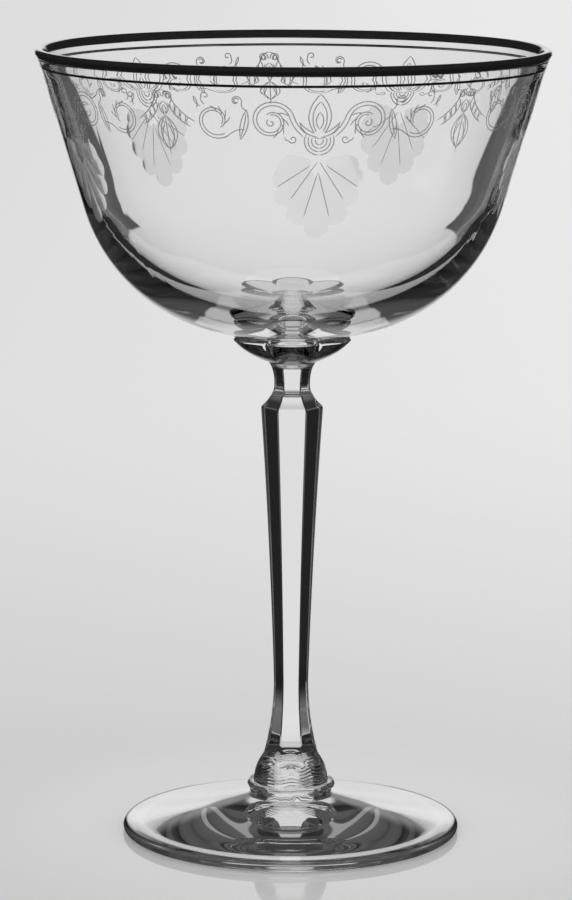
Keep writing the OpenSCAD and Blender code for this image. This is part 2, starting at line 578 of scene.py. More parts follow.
def finished(
    name: str, points: np.ndarray, faces: list, slots: Sequence[int], materials: Sequence[bpy.types.Material]
) -> bpy.types.Object:
    """Make a smooth mesh object.

    Args:
        name: Name of the piece.
        points: Its points, in millimetres.
        faces: Its faces.
        slots: Material slot of each face.
        materials: Its material slots.

    Returns:
        The object, in the scene and in metres.
    """
    mesh = bpy.data.meshes.new(name)
    mesh.from_pydata((points * MM).tolist(), [], faces)
    mesh.polygons.foreach_set("material_index", np.asarray(slots, dtype=np.int32))
    mesh.polygons.foreach_set("use_smooth", np.ones(len(faces), dtype=bool))
    for made in materials:
        mesh.materials.append(made)
    mesh.update()
    piece = bpy.data.objects.new(name, mesh)
    bpy.context.scene.collection.objects.link(piece)
    return piece


def dress(piece: bpy.types.Object, slot: str, *nodes: str) -> bpy.types.Object:
    """Put a piece on the body of the glass.

    Args:
        piece: The piece.
        slot: Name of a material slot of the record; not used.
        nodes: Solids that it stands for.

    Returns:
        The piece.
    """
    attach(piece, BODY)
    if nodes:
        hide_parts(*nodes)
    LOG.info("%s: %d faces", piece.name, len(piece.data.polygons))
    return piece


@dataclass(frozen=True)
class SixSides:
    """Six-sided section of the stem, with rounded edges and a flat towards the front."""

    edge_r: float = 0.6
    edge_share: float = 0.16
    front_share: float = 0.86
    flat_steps: int = 20
    edge_steps: int = 5

    @property
    def columns(self) -> int:
        """Number of points in a ring."""
        return 6 * (self.flat_steps + self.edge_steps)

    def ring(
        self, corner_r: float, roundness: float = 0.0, circle_r: float = 0.0
    ) -> tuple[np.ndarray, np.ndarray]:
        """One ring of the section.

        Args:
            corner_r: Radius over the sharp corners.
            roundness: Share of a plain circle in the section.
            circle_r: Radius of that circle.

        Returns:
            The first and second coordinates of its points.
        """
        flat = corner_r * math.cos(math.pi / 6)
        edge_r = min(self.edge_r, self.edge_share * corner_r)
        centre = (flat - edge_r) / math.cos(math.pi / 6)
        points = []
        for corner in range(6):
            middle = -60 + 60 * corner
            points.append(arc(centre * turned(middle), edge_r, middle - 30, middle + 30, self.edge_steps))
            following = centre * turned(middle + 60) + edge_r * turned(middle + 30)
            share = np.linspace(0, 1, self.flat_steps + 1)[1:-1, None]
            points.append(points[-1][-1] + (following - points[-1][-1]) * share)
        outline = np.concatenate(points)
        x, y = np.abs(outline.T)
        drawn_in = (1 - self.front_share) / 2 * corner_r * y / flat
        outline[:, 0] = np.sign(outline[:, 0]) * np.maximum(self.front_share * x, x - drawn_in)
        radius = np.linalg.norm(outline, axis=1, keepdims=True)
        outline *= 1 + roundness * (circle_r / radius - 1)
        return outline[:, 0], outline[:, 1]


def lean_normal(lean: float) -> np.ndarray:
    """Outward normal of a wall that leans by some degrees."""
    return np.array([math.cos(math.radians(lean)), -math.sin(math.radians(lean))])


def lean_up(lean: float) -> np.ndarray:
    """Upward direction of a wall that leans by some degrees."""
    return np.array([math.sin(math.radians(lean)), math.cos(math.radians(lean))])


@dataclass(frozen=True)
class BowlShape:
    """Outline of the blown bowl, in millimetres."""

    low_z: float
    rim_z: float
    rim_d: float = 97.6
    wall_lean: float = 16.6
    wall_taper: float = 2.0
    corner_r: float = 33.5
    base_r: float = 59.0
    lip_t: float = 1.6
    base_t: float = 5.0
    heel_r: float = 31.0
    lip_turn: float = 8.0
    lip_r: float = 34.0
    base_steps: int = 60
    corner_steps: int = 120
    flare_steps: int = 40

    @property
    def lip_lean(self) -> float:
        """Lean of the lip, in degrees."""
        return self.wall_lean + self.lip_turn

    @property
    def lip_c(self) -> np.ndarray:
        """Centre of the lip's round edge."""
        return np.array([(self.rim_d - self.lip_t) / 2, self.rim_z - self.lip_t / 2])

    @property
    def flare_c(self) -> np.ndarray:
        """Centre that both faces of the flare turn about."""
        return self.lip_c + (self.lip_r + self.lip_t / 2) * lean_normal(self.lip_lean)

    def face(self, radius: float, lean: float, corner_r: float, base_r: float, low_z: float) -> np.ndarray:
        """One face of the bowl, from the axis up to the lip.

        Args:
            radius: Radius of the flare on this face.
            lean: Lean of the wall on this face, in degrees.
            corner_r: Radius of the curve at the foot of the wall.
            base_r: Radius of the round base.
            low_z: Height of this face on the axis.

        Returns:
            One row for each point.
        """
        top = self.flare_c - radius * lean_normal(lean)
        ball = np.array([0.0, low_z + base_r])
        gap = top - corner_r * lean_normal(lean) - ball
        part = gap @ lean_up(lean)
        run = part + math.sqrt(part * part - gap @ gap + (base_r - corner_r) ** 2)
        centre = top - corner_r * lean_normal(lean) - run * lean_up(lean)
        join = math.degrees(math.atan2(*(centre - ball)[::-1]))
        return np.concatenate([
            arc(ball, base_r, -90, join, self.base_steps),
            arc(centre, corner_r, join, -lean, self.corner_steps)[1:],
            arc(self.flare_c, radius, 180 - lean, 180 - self.lip_lean, self.flare_steps)])

    def outer(self) -> np.ndarray:
        """Outer face, from the axis up to the lip."""
        return self.face(self.lip_r, self.wall_lean, self.corner_r, self.base_r, self.low_z)

    def inner(self) -> np.ndarray:
        """Inner face, from the axis up to the lip."""
        return self.face(
            self.lip_r + self.lip_t, self.wall_lean + self.wall_taper, self.heel_r,
            self.base_r - self.base_t, self.low_z + self.base_t)

    def lip(self, off: float, count: int) -> np.ndarray:
        """Round edge of the lip, from the outer face to the inner one, a height off the glass."""
        return arc(self.lip_c, self.lip_t / 2 + off, -self.lip_lean, 180 - self.lip_lean, count)

    def under(self, radius: np.ndarray) -> np.ndarray:
        """Height of the round underside at some radii."""
        return self.low_z + self.base_r - np.sqrt(self.base_r ** 2 - np.square(radius))


class FacePath:
    """Face of the bowl measured by the distance down from the lip."""

    def __init__(self, points: np.ndarray, side: int) -> None:
        """Measure the face.

        Args:
            points: Face from the axis up to the lip.
            side: 1 on the outer face and -1 on the inner one.
        """
        steps = np.linalg.norm(np.diff(points, axis=0), axis=1)
        keep = np.r_[True, steps > SAME_POINT]
        self.points = points[keep][::-1]
        self.down = np.r_[0, np.cumsum(np.linalg.norm(np.diff(self.points, axis=0), axis=1))]
        along = np.gradient(self.points, self.down, axis=0)
        along /= np.linalg.norm(along, axis=1, keepdims=True)
        self.normal = side * np.stack([-along[:, 1], along[:, 0]], 1)

    def at(self, down: np.ndarray, off: Any = 0.0) -> tuple[np.ndarray, np.ndarray]:
        """Radius and height on the face.

        Args:
            down: Distances down from the lip.
            off: Heights off the glass.

        Returns:
            The radii and the heights.
        """
        radius, height, out_r, out_z = (
            np.interp(down, self.down, values) for values in (*self.points.T, *self.normal.T))
        return radius + out_r * off, height + out_z * off


@dataclass(frozen=True)
class ShellCut:
    """Fan of scooped petals that is cut into the wall, in millimetres and degrees."""

    count: int = 5
    turn: float = 6.0
    drop: float = 16.4
    lengths: tuple[float, ...] = (15.4, 13.4, 11.2, 9.4, 7.6)
    turns: tuple[float, ...] = (0.0, 17.0, 37.0, 58.0, 74.0)
    width: float = 4.8
    depth: float = 0.15
    fade: float = 0.05
    half_width: float = 9.6
    low: float = 34.0

    def centres(self) -> np.ndarray:
        """Angles of the shells about the axis, in radians."""
        return np.radians(-90 + self.turn + 360 / self.count * np.arange(self.count))

    def sink(self, across: np.ndarray, down: np.ndarray) -> np.ndarray:
        """Depth of the cut.

        Args:
            across: Distances to the side of a shell's middle line.
            down: Distances down from the top of the shell.

        Returns:
            The depth below the plain wall, 0 outside the petals.
        """
        deepest = np.zeros(np.broadcast(across, down).shape)
        cut_r = self.width ** 2 / (8 * self.depth) + self.depth / 2
        for i, (length, turn) in enumerate(zip(self.lengths, self.turns)):
            run = length - self.width / 2
            for side in (1,) if i == 0 else (-1, 1):
                sine, cosine = math.sin(math.radians(side * turn)), math.cos(math.radians(turn))
                ahead = down * cosine + across * sine
                aside = across * cosine - down * sine
                axis = cut_r + self.fade - (self.depth + self.fade) * np.clip(ahead / run, 0, 1)
                past = np.clip(ahead - run, 0, None)
                cut = np.sqrt(np.clip(cut_r ** 2 - aside ** 2 - past ** 2, 0, None)) - axis
                deepest = np.maximum(deepest, np.where(ahead > 0, cut, 0))
        return deepest


class Ribbons:
    """Thin closed ribbons along lines on the wall of the bowl."""

    end_share: float = 0.4

    def __init__(self, wall: FacePath, thick: Pair) -> None:
        """Start with no ribbon.

        Args:
            wall: Outer face of the bowl.
            thick: Heights of the ribbon's two faces off the glass.
        """
        self.wall = wall
        self.thick = thick
        self.points: list[np.ndarray] = []
        self.faces: list[list[int]] = []

    def add(self, line: np.ndarray, centre: float, width: float, wall_r: Any, sink: Any = 0.0) -> None:
        """Lay one ribbon.

        Args:
            line: Points across and down the wall.
            centre: Angle about the axis from which the line is measured, in radians.
            width: Width of the ribbon, which narrows at both ends.
            wall_r: Radius at which distances across are measured.
            sink: Depth of the glass below the plain wall along the line.
        """
        along = np.gradient(line, axis=0)
        along /= np.maximum(np.linalg.norm(along, axis=1, keepdims=True), SAME_POINT)
        half = np.full(len(line), width / 2)
        half[[0, -1]] *= self.end_share
        aside = np.stack([-along[:, 1], along[:, 0]], 1) * half[:, None]
        base = sum(len(block) for block in self.points)
        corners = []
        for side, off in ((-1, self.thick[1]), (1, self.thick[1]), (1, self.thick[0]), (-1, self.thick[0])):
            across, down = (line + side * aside).T
            radius, height = self.wall.at(down, off - sink)
            angle = centre + across / wall_r
            corners.append(np.stack([radius * np.cos(angle), radius * np.sin(angle), height], 1))
        self.points.append(np.stack(corners, 1).reshape(-1, 3))
        steps = 4 * np.arange(len(line) - 1)[:, None, None]
        quads = np.array([[k, (k + 1) % 4, (k + 1) % 4 + 4, k + 4] for k in range(4)])
        self.faces += (base + steps + quads[None]).reshape(-1, 4).tolist()
        last = base + 4 * (len(line) - 1)
        self.faces += [[base + 3, base + 2, base + 1, base], [last, last + 1, last + 2, last + 3]]

    def build(self, name: str, finish: bpy.types.Material) -> bpy.types.Object:
        """Make the piece.

        Args:
            name: Name of the piece.
            finish: Its material.

        Returns:
            The piece.
        """
        points = np.concatenate(self.points)
        piece = finished(name, points, self.faces, np.zeros(len(self.faces)), [finish])
        return dress(piece, "bowl_glass")


@dataclass(frozen=True)
class ScrollBorder:
    """Etched border of scrolls, palmettes and drops, in millimetres across and down the wall."""

    shape: BowlShape
    shells: ShellCut
    line_w: float = 0.22
    thick: Pair = (0.004, 0.016)
    wall_r: float = 45.3
    gap: float = 0.75
    fan_c: Pair = (0.0, 12.9)
    fan_radii: tuple[float, ...] = (2.7, 2.05, 1.4, 0.7)
    first_c: Pair = (8.6, 9.2)
    first_r: float = 4.1
    first_shades: tuple[float, ...] = (455.0, 490.0, 525.0, 560.0)
    second_c: Pair = (18.8, 9.2)
    second_r: float = 3.7
    second_shades: tuple[float, ...] = (-75.0, -105.0, -135.0, -165.0)
    swag_short: float = 1.4
    drop_gap: float = 0.02
    crown_in: float = 1.15
    crown_down: float = 4.8

    @property
    def half(self) -> float:
        """Half the length of one repeat."""
        return math.pi * self.wall_r / self.shells.count

    def palmette(self) -> list[np.ndarray]:
        """Right half of the upright leaf and of the small fan below it.

        Returns:
            Its lines.
        """
        lines = [
            joined(bow((0, 4.0), (2.0, 8.3), 0.45, 8), bow((2.0, 8.3), (0.9, 11.4), 0.25, 6)),
            joined(bow((0, 5.4), (1.25, 8.5), 0.35, 6), bow((1.25, 8.5), (0.55, 11.2), 0.2, 6)),
            bow((0.02, 7.4), (0.02, 10.7), 0.62, 8),
            bow((0.9, 11.4), (3.6, 9.3), -0.25, 6),
            bow((0.5, 12.1), (3.6, 9.3), -0.75, 8),
            bow((0.02, 12.5), (1.1, 12.3), 0.1, 3)]
        return lines + [arc(self.fan_c, radius, -25, 88, 10) for radius in self.fan_radii]

    def scrolls(self) -> list[np.ndarray]:
        """The two scrolls, each a double line that winds in, with the leaf that sheathes them.

        Returns:
            Their lines.
        """
        first, second = self.first_c, self.second_c
        first_in, second_in = self.first_r - self.gap, self.second_r - self.gap
        lines = [
            joined(bow((2.2, 11.7), (4.75, 7.8), -0.4, 6), spiral(first, self.first_r, 1.5, 200, 665)),
            joined(bow((2.9, 12.1), (5.5, 8.0), -0.4, 6), spiral(first, first_in, 1.2, 202, 640)),
            spiral((8.7, 9.5), 0.8, 0.25, 300, 640),
            joined(bow((13.3, 10.9), (15.97, 11.58), 0.3, 5), spiral(second, self.second_r, 1.6, 140, -235)),
            spiral(second, second_in, 1.3, 128, -215),
            bow((12.9, 7.0), (14.3, 12.8), 0.55, 8),
            bow((12.9, 7.0), (14.3, 12.8), -0.8, 8),
            bow((13.0, 7.6), (14.2, 12.2), -0.15, 6)]
        lines += [spiral(first, 3.2, 1.9, angle, angle + 34) for angle in self.first_shades]
        lines += [spiral(second, 2.9, 1.8, angle, angle - 32) for angle in self.second_shades]
        return lines

    def curls(self) -> list[np.ndarray]:
        """Small tendrils above and below the scrolls.

        Returns:
            Their lines.
        """
        return [
            joined(bow((12.9, 7.2), (13.75, 5.9), -0.3, 4), spiral((14.7, 5.4), 1.1, 0.3, 150, 520)),
            spiral((14.7, 5.4), 0.6, 0.2, 200, 470),
            joined(bow((6.3, 12.2), (5.5, 12.9), 0.2, 4), spiral((4.8, 12.6), 0.8, 0.25, 20, 380)),
            joined(bow((20.4, 6.2), (20.9, 4.6), -0.35, 4), spiral((20.2, 4.5), 0.75, 0.2, 10, -330)),
            bow((21.2, 6.6), (22.4, 4.6), -0.4, 5),
            bow((22.0, 7.0), (22.4, 4.6), 0.4, 5)]

    def swag(self) -> list[np.ndarray]:
        """Roped leaf that runs up to the crown of the drop.

        Returns:
            Its lines.
        """
        end = self.half - self.swag_short
        low = bow((22.55, 9.6), (end, 4.9), -0.55, 9)
        high = bow((23.5, 10.6), (end + 0.6, 6.1), -0.65, 9)
        lines = [low, high]
        lines += [bow(low[i], high[i - 1], 0.25, 4) for i in (2, 4, 6, 8)]
        lines += [bow(low[i], high[i - 1], -0.2, 4) for i in (3, 5, 7)]
        return lines

    def drop(self) -> list[np.ndarray]:
        """Left half of the hanging drop and its crown.

        Returns:
            Its lines.
        """
        middle = self.half - self.drop_gap
        crown = (middle - self.crown_in, self.crown_down)
        return [
            spiral(crown, 1.0, 0.25, 20, -400),
            spiral(crown, 0.62, 0.2, 60, -260),
            bow((middle, 3.7), (middle - 1.9, 5.9), -0.5, 6),
            bow((middle, 5.9), (middle, 8.5), -0.85, 8),
            bow((middle, 6.6), (middle, 8.3), -0.4, 5),
            bow((middle, 8.6), (middle, 15.2), -2.0, 14),
            bow((middle - 0.15, 8.9), (middle - 0.15, 15.0), -1.15, 12),
            bow((middle - 0.3, 10.2), (middle - 1.3, 13.6), -0.2, 6)]

    def stalk(self) -> np.ndarray:
        """Line that lies on the middle of the drop."""
        return bow((self.half, 8.6), (self.half, 16.1), 0.0, 6)

    def build(self, finish: bpy.types.Material) -> bpy.types.Object:
        """Make the border all round the bowl.

        Args:
            finish: Its material.

        Returns:
            The piece.
        """
        ribbons = Ribbons(FacePath(self.shape.outer(), 1), self.thick)
        sided = self.palmette() + self.scrolls() + self.curls() + self.swag() + self.drop()
        for centre in self.shells.centres():
            for line in sided:
                for side in (1, -1):
                    ribbons.add(line * (side, 1), centre, self.line_w, self.wall_r)
            ribbons.add(self.stalk(), centre, self.line_w, self.wall_r)
        return ribbons.build("etched_border", finish)


@dataclass(frozen=True)
class ShellRidgeShade:
    """Dark lines of painted shade along the sharp ridges that are left between the petals of each shell, in
    millimetres.
    """

    shape: BowlShape
    shells: ShellCut
    line_w: float = 0.15
    thick: Pair = (0.003, 0.012)
    ends: tuple[tuple[float, float, float, float], ...] = (
        (0.06, 2.6, 2.3, 11.2), (0.25, 0.6, 4.75, 7.8), (1.5, 1.3, 7.3, 5.5))
    steps: int = 12

    def build(self, finish: bpy.types.Material) -> bpy.types.Object:
        """Make the painted shade lines along the ridges of every shell.

        Args:
            finish: Their material.

        Returns:
            The piece.
        """
        wall = FacePath(self.shape.outer(), 1)
        ribbons = Ribbons(wall, self.thick)
        share = np.linspace(0, 1, self.steps + 1)[:, None]
        for centre in self.shells.centres():
            for x0, y0, x1, y1 in self.ends:
                for side in (1, -1):
                    line = np.array([side * x0, y0]) + share * np.array([side * (x1 - x0), y1 - y0])
                    sink = self.shells.sink(line[:, 0], line[:, 1])
                    line = line + (0, self.shells.drop)
                    wall_r, _ = wall.at(line[:, 1])
                    ribbons.add(line, centre, self.line_w, wall_r, sink)
        return ribbons.build("shell_ridge_shade", finish)


@dataclass(frozen=True)
class Tongues:
    """Six tongues of the pressed cup, whose round ends make a scalloped seat for the bowl."""

    seat_r: float = 10.75
    lobe_out: float = 0.67
    power: float = 0.7
    round_share: float = 0.892

    def radius(self, angles: np.ndarray, corner_r: float, up: float) -> np.ndarray:
        """Radius of the cup at some angles.

        Args:
            angles: Angles about the axis, in radians.
            corner_r: Half the width of the cup from side to side.
            up: Share of the cup's height.

        Returns:
            One radius for each angle.
        """
        sixth = math.pi / 3
        turn = (angles + math.pi / 2 + sixth / 2) % sixth - sixth / 2
        lobe_r = 1 - self.lobe_out * math.cos(sixth / 2)
        lobe = self.lobe_out * np.cos(turn) + np.sqrt(lobe_r ** 2 - (self.lobe_out * np.sin(turn)) ** 2)
        round_r = corner_r * (1 - (1 - self.round_share) * (1 - up) ** 3)
        return round_r * (1 + (lobe - 1) * up ** self.power)

    def seat(self, angles: np.ndarray) -> np.ndarray:
        """Radius of the seat that carries the bowl, at some angles."""
        return self.radius(angles, self.seat_r, 1.0)


@dataclass
class Bowl:
    """Blown bowl with its cut shells, in millimetres and degrees."""

    shape: BowlShape
    shells: ShellCut
    tongues: Tongues
    plain_r: float = 17.0
    shell_in: float = 6.0
    above_shell: float = 1.0
    lip_band: float = 5.0
    fine_turn: float = 0.31
    plain_turn: float = 1.8
    fine_row: float = 0.23
    seat_rings: int = 8
    low_rows: int = 20
    high_rows: int = 8
    band_rows: int = 10
    lip_steps: int = 12
    inner_soft: float = 0.3
    inner_turn: float = 3.0
    inner_step: float = 2.0

    def columns(self) -> np.ndarray:
        """Angles of the columns, close together across each shell.

        Returns:
            The angles, in radians.
        """
        half = math.degrees(self.shells.half_width / (self.shape.rim_d / 2 - self.shell_in))
        whole = 360 / self.shells.count
        fine = np.linspace(-half, half, int(2 * half / self.fine_turn) + 1)
        rest = np.linspace(half, whole - half, int((whole - 2 * half) / self.plain_turn) + 1)[1:-1]
        one = np.radians(np.r_[fine, rest])
        return np.concatenate([centre + one for centre in self.shells.centres()])

    def nearest_shell(self, angles: np.ndarray) -> np.ndarray:
        """Angle of each column from the nearest shell's middle.

        Args:
            angles: Angles of the columns, in radians.

        Returns:
            One angle for each column, in radians.
        """
        away = angles[:, None] - self.shells.centres()[None, :]
        away = (away + math.pi) % (2 * math.pi) - math.pi
        return away[np.arange(len(angles)), np.argmin(np.abs(away), axis=1)]

    def underside(self, mesh: RingMesh, angles: np.ndarray) -> None:
        """Add the seat, where the bowl and the cup have run together, and the round base about it.

        Args:
            mesh: Mesh that takes the rings.
            angles: Angles of its columns, in radians.
        """
        seat = self.tongues.seat(angles)
        mean_r = seat.mean()
        shares = np.linspace(0, 1, self.seat_rings + 1)
        for share in shares:
            mesh.polar(angles, seat * share, self.shape.under(seat * share), Face.FUSED)
        for share in shares[1:]:
            radius = mean_r + (self.plain_r - mean_r) * share + (seat - mean_r) * (1 - share) ** 2
            mesh.polar(angles, radius, self.shape.under(radius))

    def wall(self, mesh: RingMesh, angles: np.ndarray) -> None:
        """Add the outer wall with its shells.

        Args:
            mesh: Mesh that takes the rings.
            angles: Angles of its columns, in radians.
        """
        path = FacePath(self.shape.outer(), 1)
        start = path.down[np.argmin(np.abs(path.points[:, 0] - self.plain_r))]
        shell_top = self.shells.drop - self.above_shell
        rows = np.r_[
            np.linspace(start, self.shells.low, self.low_rows)[1:],
            np.arange(self.shells.low, shell_top, -self.fine_row)[1:],
            np.linspace(shell_top, self.lip_band, self.high_rows)[1:],
            np.linspace(self.lip_band, 0, self.band_rows)[1:]]
        nearest = self.nearest_shell(angles)
        ground = np.zeros(len(angles), bool)
        for down in rows:
            plain, _ = path.at(down)
            sink = self.shells.sink(nearest * plain, down - self.shells.drop)
            radius, height = path.at(np.full(len(angles), down), -sink)
            before, ground = ground, sink > 0
            inside = before & ground & np.roll(before & ground, -1)
            mesh.polar(angles, radius, height, np.where(inside, Face.GROUND, Face.CLEAR))

    def build(self, materials: Sequence[bpy.types.Material]) -> bpy.types.Object:
        """Make the bowl.

        Args:
            materials: Clear, fused and ground glass.

        Returns:
            The piece.
        """
        angles = self.columns()
        mesh = RingMesh(len(angles))
        self.underside(mesh, angles)
        self.wall(mesh, angles)
        lip = self.shape.lip(0.0, self.lip_steps)[1:-1]
        inner = softened(self.shape.inner()[::-1], self.inner_soft, self.inner_turn, self.inner_step)
        for radius, height in np.concatenate([lip, inner]):
            mesh.polar(angles, radius, height)
        return dress(mesh.build("bowl_glass", materials), "bowl_glass", "bowl")


@dataclass
class Stem:
    """Pressed six-sided stem with the cup that carries the bowl, in millimetres."""

    bowl: BowlShape
    sides: SixSides
    tongues: Tongues
    foot_z: float
    cup_d: float = 22.4
    cup_foot_d: float = 12.0
    cup_h: float = 4.4
    cup_swell: float = 0.47
    throat_h: float = 1.2
    throat_hollow: float = 0.3
    neck_top_d: float = 8.2
    neck_low_d: float = 7.2
    neck_h: float = 4.5
    neck_hollow: float = 0.3
    shoulder_d: float = 12.1
    shoulder_h: float = 3.3
    shoulder_hollow: float = 0.3
    waist_d: float = 6.8
    taper_h: float = 53.8
    taper_hollow: float = 0.25
    flare_d: float = 10.6
    flare_h: float = 14.3
    flare_hollow: float = 0.47
    base_d: float = 14.7
    swell_h: float = 5.5
    base_swell: float = 0.45
    round_h: float = 5.0
    blend_h: float = 1.6
    button_share: float = 0.985
    ripple: float = 0.03
    ripple_step: float = 0.62
    sway: float = 2.2
    sway_count: int = 2
    sway_shift: float = 0.6
    scallop: float = 2.6
    scallop_count: int = 10
    scallop_low: float = 0.4
    scallop_rise: float = 0.2
    curve_steps: int = 24
    soft: float = 0.3
    row_turn: float = 3.0
    row_step: float = 2.5
    button_row: float = 0.1
    base_rings: tuple[float, ...] = (0.0, 0.4, 0.75, 1.0)
    edge_rings: tuple[float, ...] = (0.25, 0.6, 1.0)
    seat_rings: int = 8

    def outline(self) -> np.ndarray:
        """Outline from the stem's base up to the edge of the cup, with close rows on the button.

        Returns:
            Corner radius and height, one row for each ring.
        """
        stations = (
            (self.flare_d, self.swell_h, self.base_swell),
            (self.waist_d, self.flare_h, -self.flare_hollow),
            (self.shoulder_d, self.taper_h, -self.taper_hollow),
            (self.neck_low_d, self.shoulder_h, -self.shoulder_hollow),
            (self.neck_top_d, self.neck_h, -self.neck_hollow),
            (self.cup_foot_d, self.throat_h, -self.throat_hollow),
            (self.cup_d, self.cup_h, self.cup_swell))
        here = np.array([self.base_d / 2, self.foot_z])
        parts = []
        for diameter, rise, swell in stations:
            there = np.array([diameter / 2, here[1] + rise])
            parts.append(bow(here, there, swell, self.curve_steps))
            here = there
        radii, levels = softened(np.concatenate(parts), self.soft, self.row_turn, self.row_step).T
        button_top = self.foot_z + self.round_h
        heights = np.r_[np.arange(self.foot_z, button_top, self.button_row), levels[levels > button_top]]
        return np.stack([np.interp(heights, levels, radii), heights], 1)

    @property
    def cup_z(self) -> float:
        """Height at which the cup starts."""
        lower = self.foot_z + self.swell_h + self.flare_h + self.taper_h
        return lower + self.shoulder_h + self.neck_h + self.throat_h

    def button(self, height: float) -> float:
        """Share of the round button in the section near the stem's base."""
        share = np.clip((self.foot_z + self.round_h - height) / self.blend_h, 0, 1)
        return float(share * share * (3 - 2 * share))

    def throat(self, height: float) -> float:
        """Share of a circle in the section just below the cup."""
        share = np.clip((height - self.cup_z) / self.throat_h + 1, 0, 1)
        return float(share * share)

    def waves(self, angles: np.ndarray, up: float) -> np.ndarray:
        """Ripples that the press leaves on the button at the stem's base.

        Args:
            angles: Angles about the axis, in radians.
            up: Height above the foot.

        Returns:
            How far each point stands off the plain button.
        """
        drift = self.sway * np.sin(self.sway_count * angles + self.sway_shift)
        rise = self.scallop_low + self.scallop_rise * up
        drift += self.scallop * np.cos(self.scallop_count * angles) * rise
        edge = min(1.0, up / self.ripple_step)
        return self.ripple * edge * np.sin(2 * math.pi * up / self.ripple_step + drift)

    def section(self, corner_r: float, height: float) -> tuple[np.ndarray, np.ndarray]:
        """One ring of the stem.

        Args:
            corner_r: Radius over the corners.
            height: Height of the ring.

        Returns:
            The first and second coordinates of its points.
        """
        button = self.button(height)
        if button > 0:
            x, y = self.sides.ring(corner_r, button, corner_r * self.button_share)
            wave = 1 + button * self.waves(np.arctan2(y, x), height - self.foot_z) / corner_r
            return x * wave, y * wave
        x, y = self.sides.ring(corner_r, self.throat(height), corner_r * self.tongues.round_share)
        if height <= self.cup_z:
            return x, y
        angles = np.arctan2(y, x)
        radius = self.tongues.radius(angles, corner_r, (height - self.cup_z) / self.cup_h)
        return radius * np.cos(angles), radius * np.sin(angles)

    def build(self, materials: Sequence[bpy.types.Material]) -> bpy.types.Object:
        """Make the stem.

        Args:
            materials: Clear, fused and ground glass.

        Returns:
            The piece.
        """
        mesh = RingMesh(self.sides.columns)
        rows = self.outline()
        base_x, base_y = self.section(*rows[0])
        for share in self.base_rings:
            mesh.add(base_x * share, base_y * share, self.foot_z, Face.FUSED)
        for corner_r, height in rows[1:]:
            edge_x, edge_y = self.section(corner_r, height)
            mesh.add(edge_x, edge_y, height)
        edge_z = rows[-1][1]
        angles = np.arctan2(edge_y, edge_x)
        seat = self.tongues.seat(angles)
        x, y, z = seat * np.cos(angles), seat * np.sin(angles), self.bowl.under(seat)
        ends = ((edge_x, x), (edge_y, y), (edge_z, z))
        for share in self.edge_rings:
            mesh.add(*(first + (last - first) * share for first, last in ends))
        for share in np.linspace(1, 0, self.seat_rings + 1)[1:]:
            mesh.add(x * share, y * share, self.bowl.under(seat * share), Face.FUSED)
        return dress(mesh.build("stem_glass", materials), "stem_glass", "stem")


@dataclass
class Foot:
    """Round foot with its post, the uneven bead round the stem and the hollow underneath."""

    stem: Stem
    diameter: float
    height: float
    edge_t: float = 2.0
    post_d: float = 15.7
    post_z: float = 7.0
    ledge: float = 2.9
    ledge_rise: float = 0.3
    hollow: float = 0.2
    bead_r: float = 0.6
    rest_w: float = 2.4
    under_h: float = 1.2
    round_turn: float = 75.0
    columns: int = 288
    bead_wave: float = 0.16
    bead_waves: Waves = ((3, 0.4, 1.0), (7, 2.1, 0.7), (13, 4.0, 0.6), (24, 1.3, 0.4))
    bead_reach: Pair = (1.2, 0.9)
    bead_lift: float = 0.6
    lift_columns: int = 17
    flat_top: float = 0.1
    under_steps: int = 40
    edge_steps: int = 24
    slope_steps: int = 40
    bead_steps: int = 20
    soft: float = 0.15
    row_turn: float = 3.0
    row_step: float = 0.8
    top_rings: tuple[float, ...] = (0.5, 1.0)
    seat_rings: tuple[float, ...] = (0.7, 0.35, 0.0)

    @property
    def bead_c(self) -> np.ndarray:
        """Centre of the bead's round section."""
        return np.array([self.post_d / 2, self.height - self.bead_r])

    def outline(self) -> np.ndarray:
        """Outline from the middle of the underside, round the edge and up to the bead.

        Returns:
            Radius and height, one row for each ring.
        """
        edge_c = np.array([(self.diameter - self.edge_t) / 2, self.edge_t / 2])
        edge_top = edge_c + self.edge_t / 2 * turned(self.round_turn)
        ledge = edge_top + np.array([-self.ledge, self.ledge_rise])
        under_w = edge_c[0] - self.rest_w
        under_r = (under_w ** 2 + self.under_h ** 2) / (2 * self.under_h)
        under_end = math.degrees(math.acos(under_w / under_r))
        whole = np.concatenate([
            arc((0, self.under_h - under_r), under_r, 90, under_end, self.under_steps),
            arc(edge_c, self.edge_t / 2, -90, self.round_turn, self.edge_steps),
            bow(ledge, (self.post_d / 2, self.post_z), -self.hollow, self.slope_steps),
            arc(self.bead_c, self.bead_r, -self.round_turn, 90, self.bead_steps)])
        return softened(whole, self.soft, self.row_turn, self.row_step)

    def build(self, materials: Sequence[bpy.types.Material]) -> bpy.types.Object:
        """Make the foot.

        Args:
            materials: Clear, fused and ground glass.

        Returns:
            The piece.
        """
        angles = round_angles(self.columns)
        wave = self.bead_wave * uneven(angles, self.bead_waves)
        lift = self.bead_lift * np.roll(wave, self.lift_columns)
        rows = self.outline()
        mesh = RingMesh(self.columns)
        mesh.polar(angles, 0.0, self.under_h)
        for radius, height in rows[1:]:
            near = math.exp(-np.sum(np.square((np.array([radius, height]) - self.bead_c) / self.bead_reach)))
            level = height + lift * near * (height < self.height - self.flat_top)
            mesh.polar(angles, radius + wave * near, level)
        seat = self.stem.base_d / 2 * self.stem.button_share
        last = rows[-1][0] + wave
        for share in self.top_rings:
            mesh.polar(angles, last + (seat - last) * share, self.height)
        for share in self.seat_rings:
            mesh.polar(angles, seat * share, self.height, Face.FUSED)
        return dress(mesh.build("foot_glass", materials), "foot_glass", "foot")


